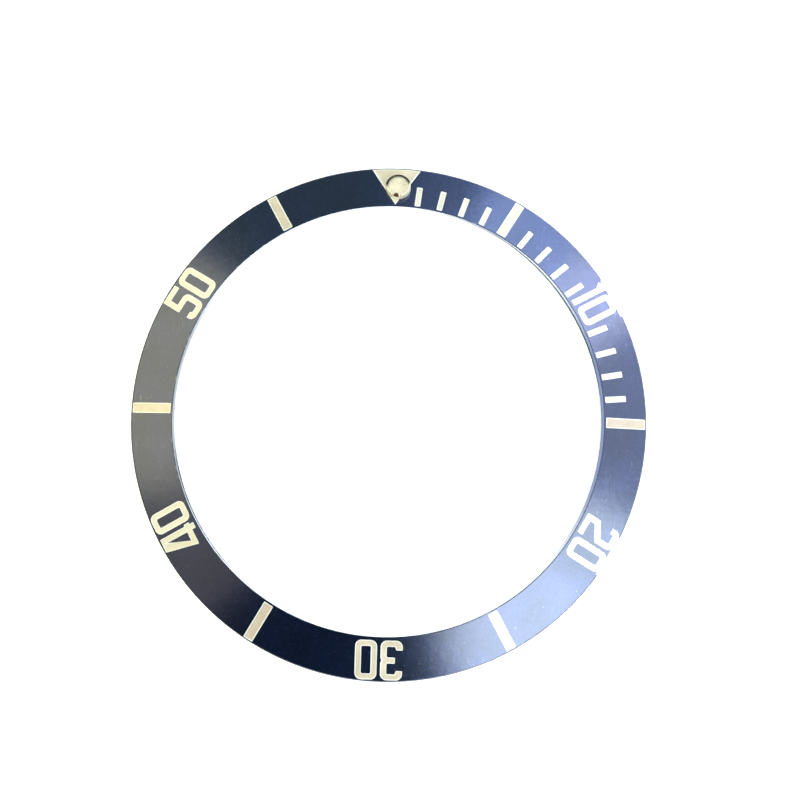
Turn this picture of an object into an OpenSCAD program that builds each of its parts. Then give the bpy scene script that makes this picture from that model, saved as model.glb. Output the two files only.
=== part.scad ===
// Sloped bezel insert for a diving watch: a conical ring with a lacquered
// 60 minute scale and a luminous pearl at 12 o'clock.
// The underside is at z = 0, +Z is up, 12 o'clock is +Y and 3 o'clock is +X.

/* [Insert ring] */
// Diameter of the outer rim
outer_d = 37.5; // [32:0.1:45]
// Width of the ring, from the rim to the opening
face_w = 3.2; // [2.8:0.05:3.6]
// Height at the rim, where the sloped face would meet the outer wall
rim_h = 0.45; // [0.35:0.01:0.7]
// Height at the opening, where the sloped face would meet the inner wall
opening_h = 1.10; // [0.9:0.01:1.5]
// Width of the bevel round the rim
rim_bevel = 0.08; // [0.04:0.01:0.12]
// Width of the broken edge round the opening
edge_break = 0.05; // [0.02:0.01:0.08]
// Width of the chamfers below, which lead the ring into its seat
lead_in = 0.10; // [0.04:0.01:0.15]

/* [Engraving] */
// Depth of every pocket, down from the sloped face
pocket_depth = 0.12; // [0.06:0.01:0.15]
// How far the dried lacquer lies below the face
lacquer_sink = 0.01; // [0.005:0.005:0.02]
// Bare width between a long mark and the rim's bevel
rim_margin = 0.03; // [0.02:0.01:0.15]
// Bare width between a mark and the edge round the opening
opening_margin = 0.08; // [0.04:0.01:0.2]

/* [Ticks, bars and triangle] */
// Width of a minute tick
tick_w = 0.43; // [0.25:0.01:0.6]
// Length of a minute tick
tick_len = 1.58; // [1:0.02:2]
// Width of a long bar
bar_w = 0.74; // [0.5:0.01:0.9]
// Corner radius of ticks and bars
mark_corner = 0.06; // [0.03:0.01:0.1]
// Width of the triangle along the rim
triangle_w = 3.65; // [3.4:0.05:4]

/* [Numerals] */
// Width of a figure
figure_w = 1.55; // [1.4:0.01:1.6]
// Width of a figure's strokes
stroke = 0.44; // [0.34:0.01:0.48]
// Corner radius round the outside of a figure
figure_corner = 0.45; // [0.3:0.01:0.5]
// Corner radius inside a counter
counter_corner = 0.1; // [0.04:0.01:0.14]
// Corner radius at the end of a stroke
end_corner = 0.04; // [0.02:0.01:0.06]
// Gap between the two figures of a numeral
figure_gap = 0.24; // [0.15:0.01:0.3]
// Bare width between a numeral's foot and the edge round the opening
foot_margin = 0.16; // [0.1:0.01:0.3]
// Bare width between a numeral's top and the rim's bevel
head_margin = 0.08; // [0.08:0.01:0.3]

/* [Figure shapes] */
// Length of the free ends of 2 and 3
terminal = 0.69; // [0.6:0.01:0.8]
// Length of the hook of 5
hook = 0.61; // [0.56:0.01:0.75]
// Slant of the hooks inside 3 and 5
hook_slant = 0.1; // [0.05:0.01:0.15]
// Reach of the flag on 1, left of its stem
flag_reach = 0.34; // [0.2:0.01:0.4]
// Drop from the top of 1 to the tip of its flag
flag_drop = 0.24; // [0.15:0.01:0.3]
// Drop from the top of 1 to the foot of its flag
flag_foot = 0.62; // [0.5:0.01:0.8]
// Thickness of the diagonal of 2, measured upright
diagonal = 0.54; // [0.45:0.01:0.6]
// Rise of the diagonal of 2 along each of its edges
diagonal_rise = 0.64; // [0.5:0.01:0.7]
// Drop from the middle of 2 to the left end of its diagonal
diagonal_drop = 0.32; // [0.25:0.01:0.36]
// Space left of the middle bar of 3
three_bar_inset = 0.53; // [0.45:0.01:0.7]
// Depth of the notch between the bowls of 3
notch = 0.08; // [0.05:0.01:0.12]
// Length of the top edge of 4
four_top_w = 1.0; // [0.9:0.01:1.1]
// Reach of the crossbar of 4, right of its stem
four_tail = 0.14; // [0.1:0.01:0.2]
// Height of the crossbar of 4 above the foot of its stem
four_bar_rise = 0.3; // [0.2:0.01:0.4]
// Drop from the top of 4 to the apex of its counter
four_apex_drop = 0.4; // [0.3:0.01:0.6]
// Gap between 4 and the figure after it
four_gap = 0.15; // [0.08:0.01:0.2]
// Height of the bowl of 5 above the figure's middle
bowl_rise = 0.34; // [0.25:0.01:0.4]

/* [Pearl] */
// Distance of the pearl's centre from the triangle's apex
pearl_rise = 1.35; // [1.3:0.01:1.5]
// How far the pearl sits clockwise of the triangle's middle
pearl_offset = 0.18; // [0:0.01:0.2]
// Diameter of the pearl's head
head_d = 1.84; // [1.7:0.01:2]
// Height of the head above the sloped face
head_h = 0.50; // [0.45:0.01:0.6]
// Radius of the rounded lip on the head
lip_r = 0.11; // [0.05:0.01:0.12]
// Width of the lip round the clear lens
lip_w = 0.13; // [0.13:0.01:0.25]
// Thickness of the lens at its edge
lens_edge = 0.12; // [0.08:0.01:0.16]
// Height of the lens's dome above its edge
lens_dome = 0.06; // [0.03:0.01:0.1]
// Width of the ledge that carries the lens
ledge_w = 0.07; // [0.05:0.01:0.1]
// Thickness of the metal below the luminous filling
cup_floor = 0.12; // [0.08:0.01:0.16]
// Diameter of the shank that goes through the ring
shank_d = 0.9; // [0.8:0.01:0.95]
// How far the shank's end is spread over, to each side
spread = 0.16; // [0.1:0.01:0.2]
// Clearance all round the shank and the lens
pearl_clearance = 0.01; // [0.005:0.005:0.02]

/* [Hidden] */
// Ticks stand on the first quarter hour, between the bar, the numeral and 3 o'clock
tick_minutes = [for (m = [1:14]) if (m % 5 > 0) m];
bar_minutes = [5:10:55];
numeral_minutes = [10:10:50];
minute_angle = 360 / 60;

// Smoothness of the pearl, of the ring and of the outlines' corners
$fn = 96;
ring_fn = 360;
corner_steps = 6;
small_corner_steps = 2;
small_corner = 0.08;

// Extra length of cutting bodies past the surface that they cut
over = 1;

outer_r = outer_d / 2;
inner_r = outer_r - face_w;
slope = (opening_h - rim_h) / face_w;
face_outer_r = outer_r - rim_bevel;
face_inner_r = inner_r + edge_break;

mark_outer_r = face_outer_r - rim_margin;
mark_inner_r = face_inner_r + opening_margin;
figure_foot_r = face_inner_r + foot_margin;
figure_h = face_outer_r - head_margin - figure_foot_r;

pearl_r = mark_inner_r + pearl_rise;
head_r = head_d / 2;
lens_r = head_r - lip_w - pearl_clearance;
shank_r = shank_d / 2;
lens_seat_h = head_h - lens_edge;
lume_r = lens_r - ledge_w;

anodised_blue = [0.08, 0.11, 0.2];
lacquer_cream = [0.9, 0.87, 0.72];
pale_gold = [0.83, 0.79, 0.65];
turned_metal = [0.8, 0.76, 0.66];
lume_cream = [0.95, 0.93, 0.78];
clear_glass = [0.95, 0.95, 0.9, 0.4];

function two_digits(n) = str(n < 10 ? "0" : "", n);
function bar_name(m) = str("bar_", two_digits(m));
function tick_name(m) = str("tick_", two_digits(m));
function figure_name(m, place) = str("numeral_", m, "_", place);

// Height of the sloped face at a radius
function face_z(r) = rim_h + (outer_r - r) * slope;

// Distance from the 3 to 9 o'clock line of a point x to the side on a circle
function on_circle(r, x) = sqrt(r * r - x * x);

// Outlines: each corner is [x, y, radius], and they run counterclockwise

function xy(corner) = [corner[0], corner[1]];
function unit(v) = v / norm(v);
function turned(v, a) = [v[0] * cos(a) - v[1] * sin(a), v[0] * sin(a) + v[1] * cos(a)];

function round_corner(before, corner, after) =
    let (
        r = corner[2],
        to_before = unit(xy(before) - xy(corner)),
        to_after = unit(xy(after) - xy(corner)),
        half = acos(to_before * to_after) / 2,
        centre = xy(corner) + unit(to_before + to_after) * r / sin(half),
        start = xy(corner) + to_before * r / tan(half),
        sweep = (cross(to_before, to_after) > 0 ? -1 : 1) * acos(-to_before * to_after),
        steps = r > small_corner ? corner_steps : small_corner_steps
    )
    [for (i = [0:steps]) centre + turned(start - centre, sweep * i / steps)];

function outline(corners) =
    let (n = len(corners))
    [for (i = [0:n - 1])
        each corners[i][2] > 0
            ? round_corner(corners[(i + n - 1) % n], corners[i], corners[(i + 1) % n])
            : [xy(corners[i])]];

module rounded_box(low, high, r) {
    polygon(outline([
        [low[0], low[1], r],
        [high[0], low[1], r],
        [high[0], high[1], r],
        [low[0], high[1], r]
    ]));
}

// Figures: each stands on y = 0, and its stem or left side is at x = 0

module figure_0() {
    difference() {
        rounded_box([0, 0], [figure_w, figure_h], figure_corner);
        rounded_box([stroke, stroke], [figure_w - stroke, figure_h - stroke], counter_corner);
    }
}

module figure_1() {
    polygon(outline([
        [0, 0, end_corner],
        [stroke, 0, end_corner],
        [stroke, figure_h, end_corner],
        [-end_corner, figure_h, end_corner],
        [-flag_reach, figure_h - flag_drop, end_corner],
        [0, figure_h - flag_foot, 0]
    ]));
}

module figure_2() {
    upper_left = figure_h / 2 - diagonal_drop;
    lower_left = upper_left + diagonal_rise * stroke / (figure_w - stroke) - diagonal;
    polygon(outline([
        [0, 0, end_corner],
        [figure_w, 0, end_corner],
        [figure_w, stroke, end_corner],
        [stroke, stroke, 0],
        [stroke, lower_left, counter_corner],
        [figure_w, lower_left + diagonal_rise, figure_corner / 2],
        [figure_w, figure_h, figure_corner],
        [0, figure_h, figure_corner],
        [0, figure_h - terminal, end_corner],
        [stroke, figure_h - terminal, end_corner],
        [stroke, figure_h - stroke, 0],
        [figure_w - stroke, figure_h - stroke, counter_corner],
        [figure_w - stroke, upper_left + diagonal_rise, counter_corner],
        [0, upper_left, counter_corner]
    ]));
}

module figure_3() {
    middle = figure_h / 2;
    bar_foot = middle - stroke / 2;
    bar_top = middle + stroke / 2;
    polygon(outline([
        [0, 0, figure_corner],
        [figure_w, 0, figure_corner],
        [figure_w, middle - 2 * notch, counter_corner],
        [figure_w - notch, middle, 0],
        [figure_w, middle + 2 * notch, counter_corner],
        [figure_w, figure_h, figure_corner],
        [0, figure_h, figure_corner],
        [0, figure_h - terminal, end_corner],
        [stroke, figure_h - terminal, end_corner],
        [stroke + hook_slant, figure_h - stroke, 0],
        [figure_w - stroke, figure_h - stroke, counter_corner],
        [figure_w - stroke, bar_top, counter_corner],
        [three_bar_inset, bar_top, end_corner],
        [three_bar_inset, bar_foot, end_corner],
        [figure_w - stroke, bar_foot, counter_corner],
        [figure_w - stroke, stroke, counter_corner],
        [stroke + hook_slant, stroke, 0],
        [stroke, terminal, end_corner],
        [0, terminal, end_corner]
    ]));
}

// The foot of its diagonal hangs out to the left of x = 0 by as much as its
// tail reaches right of the stem
module figure_4() {
    stem_right = figure_w - four_tail;
    stem_left = stem_right - stroke;
    bar_foot = four_bar_rise;
    bar_top = bar_foot + stroke;
    difference() {
        polygon(outline([
            [-four_tail, bar_foot, end_corner],
            [stem_left, bar_foot, 0],
            [stem_left, 0, end_corner],
            [stem_right, 0, end_corner],
            [stem_right, bar_foot, 0],
            [figure_w, bar_foot, end_corner],
            [figure_w, bar_top, end_corner],
            [stem_right, bar_top, 0],
            [stem_right, figure_h, end_corner],
            [stem_right - four_top_w, figure_h, end_corner]
        ]));
        polygon(outline([
            [stroke - four_tail, bar_top, end_corner],
            [stem_left, bar_top, end_corner],
            [stem_left, figure_h - four_apex_drop, 0]
        ]));
    }
}

module figure_5() {
    bowl_top = figure_h / 2 + bowl_rise;
    bowl_foot = bowl_top - stroke;
    polygon(outline([
        [0, 0, figure_corner],
        [figure_w, 0, figure_corner],
        [figure_w, bowl_top, figure_corner],
        [stroke, bowl_top, 0],
        [stroke, figure_h - stroke, 0],
        [figure_w, figure_h - stroke, end_corner],
        [figure_w, figure_h, end_corner],
        [0, figure_h, end_corner],
        [0, bowl_foot, end_corner],
        [figure_w - stroke, bowl_foot, counter_corner],
        [figure_w - stroke, stroke, counter_corner],
        [stroke + hook_slant, stroke, 0],
        [stroke, hook, end_corner],
        [0, hook, end_corner]
    ]));
}

module figure_shape(digit) {
    if (digit == 0) figure_0();
    if (digit == 1) figure_1();
    if (digit == 2) figure_2();
    if (digit == 3) figure_3();
    if (digit == 4) figure_4();
    if (digit == 5) figure_5();
}

// A numeral is centred on its minute by its spacing widths, which leave out
// the flag of 1 and the hanging foot of 4
function spacing_w(digit) = digit == 1 ? stroke : figure_w;
function gap_after(digit) = digit == 4 ? four_gap : figure_gap;
function numeral_w(tens) = spacing_w(tens) + gap_after(tens) + figure_w;

// Flat marks: x runs clockwise along the scale and y is the radius

module at_minute(m) {
    rotate(-m * minute_angle) children();
}

module tick_mark(m) {
    at_minute(m)
    rounded_box([-tick_w / 2, mark_inner_r], [tick_w / 2, mark_inner_r + tick_len], mark_corner);
}

module bar_mark(m) {
    end_y = on_circle(mark_outer_r, bar_w / 2);
    at_minute(m)
    rounded_box([-bar_w / 2, mark_inner_r], [bar_w / 2, end_y], mark_corner);
}

module figure_mark(m, place) {
    tens = floor(m / 10);
    left = -numeral_w(tens) / 2;
    units_left = numeral_w(tens) / 2 - figure_w;
    at_minute(m)
    translate([place == "tens" ? left : units_left, figure_foot_r])
    figure_shape(place == "tens" ? tens : m % 10);
}

// The sides run past the base, which the rim's circle then rounds off
module triangle_mark() {
    apex = [0, mark_inner_r];
    base_corner = [triangle_w / 2, on_circle(mark_outer_r, triangle_w / 2)];
    far = base_corner + unit(base_corner - apex) * over;
    intersection() {
        polygon([apex, far, [-far[0], far[1]]]);
        circle(mark_outer_r, $fn = ring_fn);
    }
}

// What lies between two heights above or below the sloped face, inside a mark
module within_face(low, high) {
    first_r = inner_r - over;
    last_r = outer_r + over;
    intersection() {
        rotate_extrude($fn = ring_fn)
        polygon([
            [first_r, face_z(first_r) + low],
            [last_r, face_z(last_r) + low],
            [last_r, face_z(last_r) + high],
            [first_r, face_z(first_r) + high]
        ]);
        linear_extrude(opening_h + 3 * over) children();
    }
}

module pocket() {
    within_face(-pocket_depth, over) children();
}

module lacquer_fill(tint) {
    color(tint)
    within_face(-pocket_depth, -lacquer_sink) children();
}

// Stands a turned piece square on the sloped face, where the pearl sits
module on_pearl_axis() {
    rotate([0, 0, -asin(pearl_offset / pearl_r)])
    translate([0, pearl_r, face_z(pearl_r)])
    rotate([-atan(slope), 0, 0])
    children();
}

// The shank with its spread end: it runs on past the underside
module shank(extra) {
    r = shank_r + extra;
    depth = face_z(pearl_r) / cos(atan(slope));
    flare_start = -depth + spread;
    flare_end = -depth - over / 2;
    rotate_extrude()
    polygon([
        [0, flare_end],
        [r + flare_start - flare_end, flare_end],
        [r, flare_start],
        [r, extra],
        [0, extra]
    ]);
}

module below_underside() {
    translate([-head_d, pearl_r - head_d, -2 * over])
    cube([2 * head_d, 2 * head_d, 2 * over]);
}

module insert_ring() {
    color(anodised_blue)
    difference() {
        rotate_extrude($fn = ring_fn)
        polygon([
            [inner_r, lead_in],
            [inner_r + lead_in, 0],
            [outer_r - lead_in, 0],
            [outer_r, lead_in],
            [outer_r, face_z(face_outer_r) - rim_bevel],
            [face_outer_r, face_z(face_outer_r)],
            [face_inner_r, face_z(face_inner_r)],
            [inner_r, face_z(face_inner_r) - edge_break]
        ]);
        pocket() triangle_mark();
        for (m = bar_minutes) pocket() bar_mark(m);
        for (m = tick_minutes) pocket() tick_mark(m);
        for (m = numeral_minutes, place = ["tens", "units"]) pocket() figure_mark(m, place);
        on_pearl_axis() shank(pearl_clearance);
    }
}

module zero_triangle() {
    color(pale_gold)
    difference() {
        within_face(-pocket_depth, -lacquer_sink) triangle_mark();
        on_pearl_axis() shank(pearl_clearance);
    }
}

module bar(m) {
    lacquer_fill(lacquer_cream) bar_mark(m);
}

module tick(m) {
    lacquer_fill(lacquer_cream) tick_mark(m);
}

module numeral_figure(m, place) {
    lacquer_fill(lacquer_cream) figure_mark(m, place);
}

module pearl_cup() {
    bore_r = head_r - lip_w;
    lip_centre = [head_r - lip_r, head_h - lip_r];
    color(turned_metal)
    difference() {
        on_pearl_axis() {
            rotate_extrude()
            polygon(concat(
                [[0, 0], [head_r, 0]],
                [for (i = [0:corner_steps])
                    lip_centre + lip_r * [cos(90 * i / corner_steps), sin(90 * i / corner_steps)]],
                [
                    [bore_r, head_h],
                    [bore_r, lens_seat_h],
                    [lume_r, lens_seat_h],
                    [lume_r, cup_floor],
                    [0, cup_floor]
                ]
            ));
            shank(0);
        }
        below_underside();
    }
}

module pearl_lume() {
    color(lume_cream)
    on_pearl_axis()
    translate([0, 0, cup_floor])
    cylinder(h = lens_seat_h - cup_floor, r = lume_r);
}

// The dome is part of a sphere that passes through the lens's upper edge
module pearl_lens() {
    dome_r = (lens_r * lens_r + lens_dome * lens_dome) / (2 * lens_dome);
    color(clear_glass)
    on_pearl_axis()
    intersection() {
        translate([0, 0, lens_seat_h])
        cylinder(h = lens_edge + lens_dome, r = lens_r);
        translate([0, 0, head_h + lens_dome - dome_r])
        sphere(dome_r, $fn = ring_fn);
    }
}

insert_ring();
zero_triangle();
for (m = bar_minutes)
    bar(m);
for (m = tick_minutes)
    tick(m);
for (m = numeral_minutes, place = ["tens", "units"])
    numeral_figure(m, place);
pearl_cup();
pearl_lume();
pearl_lens();
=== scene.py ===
# %% [markdown]
# # The bezel insert of a diving watch
# The insert is a thin aluminium ring, 37.5 mm across, whose sloped face carries a
# 60 minute scale. The scale is engraved, and cream lacquer fills the engraving.
# At 12 o'clock a small metal cup holds luminous paint under a lens: the pearl.
#
# The CAD model gives every solid at its true place, in metres. This lesson dresses
# it: a camera, a plain white stage, a finish for each piece, and the fine edges that
# a solid model leaves out.

import math

import bmesh
import bpy
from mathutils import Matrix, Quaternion, Vector


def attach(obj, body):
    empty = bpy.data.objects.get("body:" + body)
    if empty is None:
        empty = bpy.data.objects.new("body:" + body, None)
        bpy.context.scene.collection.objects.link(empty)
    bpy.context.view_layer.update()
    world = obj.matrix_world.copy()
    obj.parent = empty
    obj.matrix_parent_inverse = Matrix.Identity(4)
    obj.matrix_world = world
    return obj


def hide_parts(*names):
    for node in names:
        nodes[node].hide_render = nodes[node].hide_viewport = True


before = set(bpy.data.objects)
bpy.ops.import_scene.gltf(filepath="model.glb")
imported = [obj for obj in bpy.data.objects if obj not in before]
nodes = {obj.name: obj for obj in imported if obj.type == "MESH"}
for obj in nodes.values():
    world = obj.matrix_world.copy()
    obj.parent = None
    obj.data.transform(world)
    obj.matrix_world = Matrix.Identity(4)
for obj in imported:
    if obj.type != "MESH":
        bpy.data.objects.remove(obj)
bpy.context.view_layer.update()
MM = 0.001

# %% [markdown]
# ## Measuring the ring and the pearl
# The finishes need a few of the object's own sizes, such as where the wall of the
# opening ends and the face starts. They could be typed in, but then they would be
# wrong as soon as the CAD model changes. So they are measured on the meshes.

# %% Sizes of the ring, in millimetres
ring = nodes["insert_ring"]
ring_radii = [math.hypot(v.co.x, v.co.y) / MM for v in ring.data.vertices]
RIM_R = max(ring_radii)
OPENING_R = min(ring_radii)
RIM_WALL_TOP = max(v.co.z / MM for v, r in zip(ring.data.vertices, ring_radii) if r > RIM_R - 0.01)
print("Rim radius", round(RIM_R, 3), "mm, opening radius", round(OPENING_R, 3), "mm")
print("The rim's wall is", round(RIM_WALL_TOP, 3), "mm high, up to its bevel")

# %% [markdown]
# The pearl stands square to the sloped face, so it has a frame of its own. Its axis
# is the way that the flat top of its luminous filling looks. The other two ways follow
# from the axis: one to the right, and one up the face towards 12 o'clock. The pearl's
# middle is where the filling's middle lies along each of the three.

# %% Place of the pearl
lume_mesh = nodes["pearl_lume"].data
top_facet = max((f for f in lume_mesh.polygons if f.normal.z > 0.9), key=lambda f: f.area)
PEARL_AXIS = Vector(top_facet.normal).normalized()
PEARL_RIGHT = Vector((0, 1, 0)).cross(PEARL_AXIS).normalized()
PEARL_UP = PEARL_AXIS.cross(PEARL_RIGHT)
PEARL_MIDDLE = Vector()
for way in (PEARL_RIGHT, PEARL_UP, PEARL_AXIS):
    reach = [v.co.dot(way) / MM for v in lume_mesh.vertices]
    PEARL_MIDDLE += way * (min(reach) + max(reach)) / 2
tilt = math.degrees(math.acos(PEARL_AXIS.z))
print("Pearl's middle at", [round(c, 2) for c in PEARL_MIDDLE], "mm, tilted", round(tilt, 1), "degrees")


# %% Sizes of the pearl
def pearl_profile(name):
    """The radius and height of each point of a piece of the pearl, in its own frame."""
    offsets = [v.co / MM - PEARL_MIDDLE for v in nodes[name].data.vertices]
    return [(o.cross(PEARL_AXIS).length, o.dot(PEARL_AXIS)) for o in offsets]


HEAD_R, HEAD_TOP = (max(values) for values in zip(*pearl_profile("pearl_cup")))
LENS_R, LENS_TOP = (max(values) for values in zip(*pearl_profile("pearl_lens")))
LENS_SEAT = min(height for radius, height in pearl_profile("pearl_lens"))
LENS_EDGE = max(height for radius, height in pearl_profile("pearl_lens") if radius > 0.95 * LENS_R)
print("Pearl's head radius", round(HEAD_R, 3), "mm, its top", round(HEAD_TOP, 2), "mm above the middle")
print("Lens radius", round(LENS_R, 3), "mm, from", [round(h, 2) for h in (LENS_SEAT, LENS_EDGE, LENS_TOP)])

# %% [markdown]
# ## The camera
# The photograph was taken from above, a little towards 6 o'clock, with the camera
# nearly square to the ring. Its place and turn come from fitting a pinhole camera to
# the rim and to the ends of all the marks. The turn is an axis times an angle in
# radians, which is short to write and has no order of turns to get wrong.
#
# The sensor is as wide as the lens is long, so the picture shows as much across as
# the camera is far away. What is nearer than the near clipping distance isn't drawn,
# so that distance has to be small for such a small object.

# %% Camera
CAMERA_PLACE = Vector((1.80, -5.17, 58.37)) * MM
CAMERA_TURN = Vector((0.10995, 0.01438, 0.03428))
FOCAL_LENGTH = 36
SENSOR_WIDTH = FOCAL_LENGTH
CLIP_NEAR = 1 * MM
CLIP_FAR = 5000 * MM
bpy.ops.object.select_all(action="DESELECT")
bpy.ops.object.camera_add(location=CAMERA_PLACE)
camera = bpy.context.object
camera.name = "photo_camera"
camera.rotation_mode = "QUATERNION"
camera.rotation_quaternion = Quaternion(CAMERA_TURN.normalized(), CAMERA_TURN.length)
camera.data.lens = FOCAL_LENGTH
camera.data.sensor_width = SENSOR_WIDTH
camera.data.clip_start = CLIP_NEAR
camera.data.clip_end = CLIP_FAR
bpy.context.scene.camera = camera
print("Camera", round(camera.location.length / MM, 1), "mm from the ring's middle")

# %% [markdown]
# ## Small helpers
# Colours are written as the sRGB hex values that a colour picker shows, and one
# function turns them to the linear values that the shaders want. One more function
# adds a node to a material with its settings and its inputs. An input is either a
# plain value or the output of another node.
#
# A socket goes by its name, or by its number where that is shorter. Mix has its
# factor at 0 and two colours at 6 and 7. Map Range has its value at 0, the range it
# comes from at 1 and 2, and the range it goes to at 3 and 4, which is 0 to 1 if
# nothing is said. Most masks here end in a Map Range. Its first two numbers say where
# the mask starts and where it is full, and the gap between them is its soft edge.
#
# Every pattern reads the object's own coordinates in millimetres, so the scale of a
# noise is simply how many waves it has to a millimetre. The sizes in the masks are
# millimetres too.

# %% Colours and nodes
def linear(hex_colour):
    """sRGB hex, such as "1b2a4a", as linear red, green and blue, and a full alpha."""
    channels = [int(hex_colour[i:i + 2], 16) / 255 for i in (0, 2, 4)]
    return [c / 12.92 if c <= 0.04045 else ((c + 0.055) / 1.055) ** 2.4 for c in channels] + [1]


def add_node(tree, kind, inputs=None, out=None, **settings):
    """Adds a node, and gives back its output of that name, or else its first live one.

    inputs maps a socket's name or number to a value or to another node's output.
    """
    node = tree.nodes.new("ShaderNode" + kind)
    for name, value in settings.items():
        setattr(node, name, value)
    for socket, value in (inputs or {}).items():
        if isinstance(value, bpy.types.NodeSocket):
            tree.links.new(value, node.inputs[socket])
        else:
            node.inputs[socket].default_value = value
    return node.outputs[out] if out else next((o for o in node.outputs if o.enabled), None)


def new_finish(name):
    """An empty material, its tree, and its object coordinates in millimetres."""
    finish = bpy.data.materials.new(name)
    finish.use_nodes = True
    tree = finish.node_tree
    tree.nodes.clear()
    metres = add_node(tree, "TexCoord", out="Object")
    place = add_node(tree, "VectorMath", {0: metres, "Scale": 1 / MM}, operation="SCALE")
    return finish, tree, place


def close_finish(tree, inputs):
    """Ends a material in one Principled shader with these inputs."""
    add_node(tree, "OutputMaterial", {"Surface": add_node(tree, "BsdfPrincipled", inputs)})


print("Half way up in sRGB is", round(linear("808080")[0], 3), "in linear light")

# %% [markdown]
# ## The stage
# The ring lies on plain white. A large sheet of card would do, and so does a plane,
# as long as it looks white from every side. It glows a little, as white card does in
# a light tent, so that the ring's low edge throws no grey patch on it. Far out, where
# the lamps don't reach, it glows more, which hides the horizon in a side view.

# %% Floor
FLOOR_WIDTH = 3000
GLOW_STARTS = 60
GLOW_FULL = 400
bpy.ops.mesh.primitive_plane_add(size=FLOOR_WIDTH * MM)
floor = bpy.context.object
floor.name = "floor"
floor_finish, tree, place = new_finish("white_card")
far_out = add_node(tree, "VectorMath", {0: place}, out="Value", operation="LENGTH")
glow = add_node(tree, "MapRange", {0: far_out, 1: GLOW_STARTS, 2: GLOW_FULL, 3: 0.6, 4: 1.0})
fibres = add_node(tree, "TexNoise", {"Vector": place, "Scale": 3.0, "Detail": 3.0})
close_finish(tree, {
    "Base Color": add_node(tree, "Mix", {0: fibres, 6: linear("f6f6f6"), 7: linear("fafafa")},
                           data_type="RGBA"),
    "Roughness": 0.9,
    "Specular IOR Level": 0.0,
    "Emission Color": linear("ffffff"),
    "Emission Strength": glow,
})
floor.data.materials.append(floor_finish)
print("The floor is", FLOOR_WIDTH, "mm wide and glows fully from", GLOW_FULL, "mm out")

# %% [markdown]
# ## The light
# The face is a shallow cone with a satin gloss. From this camera each part of it
# mirrors what stands outside it at the same hour, about 40 degrees from straight
# up. So softboxes that stand round the ring, at their own hours, decide where the
# face is bright: several on the right, a warm pair on the left, and darkness at
# 6 o'clock. A lamp overhead isn't mirrored by the face, and lights the lacquer. So do
# four low boxes, a yellow one on the left, a blue one on the right and two white ones.
# They are kept out of all reflections, because the wall of the opening would mirror
# them.
#
# An area lamp spreads its power over its whole area, so of two boxes with the same
# power the larger one looks dimmer. A small function works the power out from a
# brightness instead, which stays the same when a box is resized.

# %% A softbox
LAMP_FAR = 80 * MM


def softbox(name, clock_angle, from_zenith, wide, high, colour, brightness, far=LAMP_FAR):
    """An area lamp aimed at the ring's face at that clock angle. Angles are in degrees."""
    around = math.radians(clock_angle)
    tilt = math.radians(from_zenith)
    outward = Vector((math.sin(around), math.cos(around), 0))
    aim = outward * (RIM_R + OPENING_R) / 2 * MM
    away = outward * math.sin(tilt) + Vector((0, 0, math.cos(tilt)))
    bpy.ops.object.light_add(type="AREA", location=aim + away * far)
    lamp = bpy.context.object
    lamp.name = name
    lamp.rotation_mode = "QUATERNION"
    lamp.rotation_quaternion = away.to_track_quat("Z", "Y")
    lamp.data.shape = "RECTANGLE"
    lamp.data.size = 2 * far * math.tan(math.radians(wide / 2))
    lamp.data.size_y = 2 * far * math.tan(math.radians(high / 2))
    lamp.data.color = linear(colour)[:3]
    lamp.data.energy = brightness * math.pi * lamp.data.size * lamp.data.size_y
    lamp.visible_camera = False
    return lamp


print("Softboxes stand", round(LAMP_FAR / MM), "mm from the face")

# %% All softboxes
softbox("box_top", 14, 38, 22, 20, "d0e0ff", 0.75)
softbox("box_upper_right", 40, 38, 38, 20, "dcedff", 3.6)
softbox("box_upper_right_core", 53, 38, 18, 18, "fff1ea", 3.6)
softbox("box_right", 88, 38, 38, 20, "f4f8fa", 1.95)
softbox("box_lower_right", 135, 36, 45, 20, "f8ffec", 7.0)
softbox("box_lower_right_core", 142, 36, 24, 18, "fffff8", 1.8)
softbox("box_left", 284, 41, 47, 22, "ffecac", 3.0)
softbox("box_lower_left", 240, 38, 24, 20, "ffe8c0", 0.92)
softbox("lamp_overhead", 0, 0, 30, 30, "ffecdc", 1.4, far=600 * MM)
low_boxes = [
    softbox("low_box_left", 278, 66, 48, 16, "f2ffac", 7.0),
    softbox("low_box_right", 60, 66, 50, 16, "bcd0ff", 3.0),
    softbox("low_box_top", 350, 64, 40, 16, "fffaf0", 3.0),
    softbox("low_box_lower_right", 140, 68, 36, 14, "ffffff", 1.6),
]
for box in low_boxes:
    box.visible_glossy = False

# %% [markdown]
# Between the softboxes the face mirrors the room. The room is a dark blue towards
# 6 o'clock and a dim blue green towards 12. White card stands low down round the
# table, and gives the ring's walls and the pearl their light. It is too low for the
# face to mirror. Towards 12 the card is nearly black, which leaves the pearl's lip
# dark on that side.
#
# The camera itself sees plain white, so that a view from the side has the same
# backdrop as one from above.

# %% Room
world = bpy.data.worlds.new("room")
bpy.context.scene.world = world
world.use_nodes = True
tree = world.node_tree
tree.nodes.clear()
direction = add_node(tree, "TexCoord", out="Generated")
northward = add_node(tree, "SeparateXYZ", {0: direction}, out="Y")
upward = add_node(tree, "SeparateXYZ", {0: direction}, out="Z")
to_12 = add_node(tree, "MapRange", {0: northward, 1: -0.3, 2: 0.5})
upper_room = add_node(tree, "Mix", {0: to_12, 6: linear("2e4a64"), 7: linear("8aa2a0")}, data_type="RGBA")
from_12 = add_node(tree, "MapRange", {0: northward, 1: 0.75, 2: 0.35})
card = add_node(tree, "Mix", {0: from_12, 6: linear("101010"), 7: linear("ffffff")}, data_type="RGBA")
low = add_node(tree, "MapRange", {0: upward, 1: 0.38, 2: 0.22})
room = add_node(tree, "Mix", {0: low, 6: upper_room, 7: card}, data_type="RGBA")
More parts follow.
